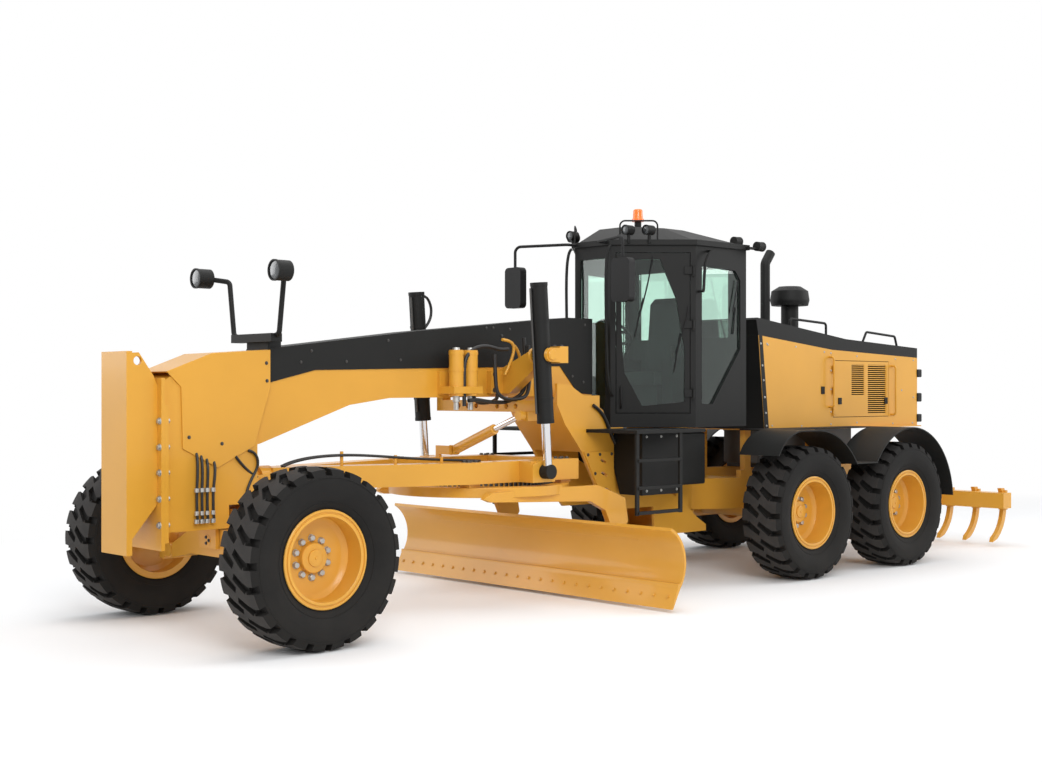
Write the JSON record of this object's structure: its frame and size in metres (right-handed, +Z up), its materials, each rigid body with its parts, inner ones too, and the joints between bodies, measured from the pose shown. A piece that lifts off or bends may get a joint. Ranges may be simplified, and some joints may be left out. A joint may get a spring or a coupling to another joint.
{
  "type": "motor grader",
  "caption": "Six-wheel articulated motor grader with a curved blade under a long gooseneck frame, glazed cab, rear hood, tandem wheels, push block and rear ripper.",
  "frame": {"origin": "centre of the whole machine's footprint box, on the ground under the wheels", "axes": "+Z up, -Y the way the machine drives, +X its left side"},
  "size_m": [3.658, 10.8658, 3.615],
  "materials": {
    "yellow_paint": "gloss paint",
    "black_paint": "satin paint",
    "tyre_rubber": "matte",
    "dark_steel": "cast",
    "chrome_rod": "polished",
    "tinted_glass": "tinted",
    "amber_lens": "clear amber",
    "seat_fabric": "woven",
    "black_plastic": "grained"
  },
  "bodies": {
    "front_frame": {"front_frame": "yellow_paint", "head_shroud": "yellow_paint", "top_cover": "black_paint", "push_block": "yellow_paint", "accumulators": "yellow_paint", "lift_yoke": "yellow_paint", "cab_shell": "black_paint", "cab_roof": "black_paint", "beacon": "amber_lens", "cab_glass": "tinted_glass", "operator_seat": "seat_fabric", "operator_console": "black_plastic", "access_platforms": "black_paint", "mirrors": "black_plastic", "front_axle": "yellow_paint"},
    "rear_frame": {"rear_frame": "yellow_paint", "tandem_cases": "yellow_paint", "hood": "yellow_paint", "hood_cover": "black_paint", "fenders": "black_paint", "engine": "dark_steel"},
    "cab_door_left": {"cab_door_left": "black_paint"},
    "cab_door_right": {"cab_door_right": "black_paint"},
    "axle_yoke_left": {"axle_yoke_left": "yellow_paint"},
    "axle_yoke_right": {"axle_yoke_right": "yellow_paint"},
    "lean_bar": {"lean_bar": "yellow_paint"},
    "knuckle_left": {"knuckle_left": "yellow_paint"},
    "knuckle_right": {"knuckle_right": "yellow_paint"},
    "tie_rod_end": {"tie_rod_end": "dark_steel"},
    "tie_rod": {"tie_rod": "black_paint"},
    "drawbar": {"drawbar": "yellow_paint"},
    "circle": {"circle": "yellow_paint"},
    "blade_carrier": {"blade_carrier": "yellow_paint"},
    "moldboard": {"moldboard": "yellow_paint"},
    "lift_barrel_left": {"lift_barrel_left": "black_paint"},
    "lift_barrel_right": {"lift_barrel_right": "black_paint"},
    "lift_rod_left": {"lift_rod_left": "chrome_rod"},
    "lift_rod_right": {"lift_rod_right": "chrome_rod"},
    "centre_shift_rod": {"centre_shift_rod": "chrome_rod"},
    "centre_shift_barrel": {"centre_shift_barrel": "yellow_paint"},
    "hood_door_left": {"hood_door_left": "yellow_paint"},
    "hood_door_right": {"hood_door_right": "yellow_paint"},
    "ripper_frame": {"ripper_frame": "yellow_paint"},
    "ripper_barrel": {"ripper_barrel": "yellow_paint"},
    "ripper_rod": {"ripper_rod": "chrome_rod"},
    "wheel_front_left": {"tyre_front_left": "tyre_rubber", "rim_front_left": "yellow_paint"},
    "wheel_front_right": {"tyre_front_right": "tyre_rubber", "rim_front_right": "yellow_paint"},
    "wheel_middle_left": {"tyre_middle_left": "tyre_rubber", "rim_middle_left": "yellow_paint"},
    "wheel_middle_right": {"tyre_middle_right": "tyre_rubber", "rim_middle_right": "yellow_paint"},
    "wheel_rear_left": {"tyre_rear_left": "tyre_rubber", "rim_rear_left": "yellow_paint"},
    "wheel_rear_right": {"tyre_rear_right": "tyre_rubber", "rim_rear_right": "yellow_paint"}
  },
  "joints": [
    {"name": "articulation", "type": "hinge", "parent": "front_frame", "child": "rear_frame", "pos_m": [0, 0.809, 0.78], "axis": [0, 0, 1], "range_deg": [-20, 20]},
    {"name": "wheel_lean", "type": "hinge", "parent": "front_frame", "child": "axle_yoke_left", "pos_m": [0.66, -4.521, 0.565], "axis": [0, 1, 0], "range_deg": [-17.1, 17.1]},
    {"name": "wheel_lean_right", "type": "hinge", "parent": "front_frame", "child": "axle_yoke_right", "pos_m": [-0.66, -4.521, 0.565], "axis": [0, 1, 0], "range_deg": [-17.1, 17.1]},
    {"name": "lean_bar_pivot", "type": "hinge", "parent": "axle_yoke_left", "child": "lean_bar", "pos_m": [0.66, -4.521, 0.905], "axis": [0, 1, 0], "range_deg": [-17.1, 17.1]},
    {"name": "steering", "type": "hinge", "parent": "axle_yoke_left", "child": "knuckle_left", "pos_m": [0.83, -4.521, 0.645], "axis": [0, 0, 1], "range_deg": [-47.5, 47.5]},
    {"name": "steering_right", "type": "hinge", "parent": "axle_yoke_right", "child": "knuckle_right", "pos_m": [-0.83, -4.521, 0.645], "axis": [0, 0, 1], "range_deg": [-47.5, 47.5]},
    {"name": "tie_rod_swivel", "type": "hinge", "parent": "knuckle_left", "child": "tie_rod_end", "pos_m": [0.83, -4.261, 0.585], "axis": [0, 0, 1], "range_deg": [-47.5, 47.5]},
    {"name": "tie_rod_tilt", "type": "hinge", "parent": "tie_rod_end", "child": "tie_rod", "pos_m": [0.83, -4.261, 0.585], "axis": [0, 1, 0], "range_deg": [-13.68, 13.68]},
    {"name": "wheel_spin_front_left", "type": "hinge", "parent": "knuckle_left", "child": "wheel_front_left", "pos_m": [1.165, -4.521, 0.645], "axis": [1, 0, 0], "continuous": true},
    {"name": "wheel_spin_front_right", "type": "hinge", "parent": "knuckle_right", "child": "wheel_front_right", "pos_m": [-1.165, -4.521, 0.645], "axis": [1, 0, 0], "continuous": true},
    {"name": "wheel_spin_middle_left", "type": "hinge", "parent": "rear_frame", "child": "wheel_middle_left", "pos_m": [1.165, 1.21, 0.645], "axis": [1, 0, 0], "continuous": true},
    {"name": "wheel_spin_middle_right", "type": "hinge", "parent": "rear_frame", "child": "wheel_middle_right", "pos_m": [-1.165, 1.21, 0.645], "axis": [1, 0, 0], "continuous": true},
    {"name": "wheel_spin_rear_left", "type": "hinge", "parent": "rear_frame", "child": "wheel_rear_left", "pos_m": [1.165, 2.866, 0.645], "axis": [1, 0, 0], "continuous": true},
    {"name": "wheel_spin_rear_right", "type": "hinge", "parent": "rear_frame", "child": "wheel_rear_right", "pos_m": [-1.165, 2.866, 0.645], "axis": [1, 0, 0], "continuous": true},
    {"name": "blade_lift", "type": "hinge", "parent": "front_frame", "child": "drawbar", "pos_m": [0, -4.251, 1.13], "axis": [1, 0, 0], "range_deg": [-15, 7.5]},
    {"name": "circle_turn", "type": "hinge", "parent": "drawbar", "child": "circle", "pos_m": [0, -1.921, 1], "axis": [0, 0, 1], "continuous": true},
    {"name": "blade_tip", "type": "hinge", "parent": "circle", "child": "blade_carrier", "pos_m": [0, -1.146, 0.23], "axis": [1, 0, 0], "range_deg": [-5, 40]},
    {"name": "blade_shift", "type": "slide", "parent": "blade_carrier", "child": "moldboard", "axis": [-1, 0, 0], "range_m": [-0.55, 0.55]},
    {"name": "lift_swing_left", "type": "hinge", "parent": "front_frame", "child": "lift_barrel_left", "pos_m": [0.82, -1.929, 2.127], "axis": [1, 0, 0], "range_deg": [-3.62, 1.81]},
    {"name": "lift_stroke_left", "type": "slide", "parent": "lift_barrel_left", "child": "lift_rod_left", "axis": [0, 0.0685, -0.9976], "range_m": [-0.31008, 0.62015]},
    {"name": "lift_swing_right", "type": "hinge", "parent": "front_frame", "child": "lift_barrel_right", "pos_m": [-0.82, -1.929, 2.127], "axis": [1, 0, 0], "range_deg": [-3.62, 1.81]},
    {"name": "lift_stroke_right", "type": "slide", "parent": "lift_barrel_right", "child": "lift_rod_right", "axis": [0, 0.0685, -0.9976], "range_m": [-0.31008, 0.62015]},
    {"name": "shift_swing", "type": "hinge", "parent": "front_frame", "child": "centre_shift_rod", "pos_m": [0.54, -1.921, 1.61], "axis": [0, 1, 0], "range_deg": [-29.78, 14.89]},
    {"name": "shift_stroke", "type": "slide", "parent": "centre_shift_rod", "child": "centre_shift_barrel", "axis": [-0.9385, 0, -0.3452], "range_m": [-0.14932, 0.29864]},
    {"name": "cab_door_left_swing", "type": "hinge", "parent": "front_frame", "child": "cab_door_left", "pos_m": [0.77706, 0.08914, 2.35], "axis": [0, 0, 1], "range_deg": [0, 90]},
    {"name": "cab_door_right_swing", "type": "hinge", "parent": "front_frame", "child": "cab_door_right", "pos_m": [-0.77706, 0.08914, 2.35], "axis": [0, 0, 1], "range_deg": [-90, 0]},
    {"name": "hood_door_left_swing", "type": "hinge", "parent": "rear_frame", "child": "hood_door_left", "pos_m": [0.652, 2.529, 1.825], "axis": [0, 0, 1], "range_deg": [-90, 0]},
    {"name": "hood_door_right_swing", "type": "hinge", "parent": "rear_frame", "child": "hood_door_right", "pos_m": [-0.652, 2.529, 1.825], "axis": [0, 0, 1], "range_deg": [0, 90]},
    {"name": "ripper_lift", "type": "hinge", "parent": "rear_frame", "child": "ripper_frame", "pos_m": [0, 4.439, 0.86], "axis": [1, 0, 0], "range_deg": [-28, 22]},
    {"name": "ripper_swing", "type": "hinge", "parent": "rear_frame", "child": "ripper_barrel", "pos_m": [0, 4.444, 1.18], "axis": [1, 0, 0], "range_deg": [-20.48, 16.09]},
    {"name": "ripper_stroke", "type": "slide", "parent": "ripper_barrel", "child": "ripper_rod", "axis": [0, 0.7405, -0.6721], "range_m": [-0.087, 0.11072]}
  ],
  "couplings": [
    {"joint": "wheel_lean_right", "follows": "wheel_lean", "ratio": 1},
    {"joint": "lean_bar_pivot", "follows": "wheel_lean", "ratio": -1},
    {"joint": "steering_right", "follows": "steering", "ratio": 1},
    {"joint": "tie_rod_swivel", "follows": "steering", "ratio": -1},
    {"joint": "tie_rod_tilt", "follows": "wheel_lean", "ratio": -0.796},
    {"joint": "lift_swing_left", "follows": "blade_lift", "ratio": 0.24092},
    {"joint": "lift_stroke_left", "follows": "blade_lift", "m_per_rad": -2.3664},
    {"joint": "lift_swing_right", "follows": "blade_lift", "ratio": 0.24092},
    {"joint": "lift_stroke_right", "follows": "blade_lift", "m_per_rad": -2.3664},
    {"joint": "shift_swing", "follows": "blade_lift", "ratio": 1.9835},
    {"joint": "shift_stroke", "follows": "blade_lift", "m_per_rad": -1.1396},
    {"joint": "ripper_swing", "follows": "ripper_lift", "ratio": 0.73057},
    {"joint": "ripper_stroke", "follows": "ripper_lift", "m_per_rad": -0.22634}
  ]
}
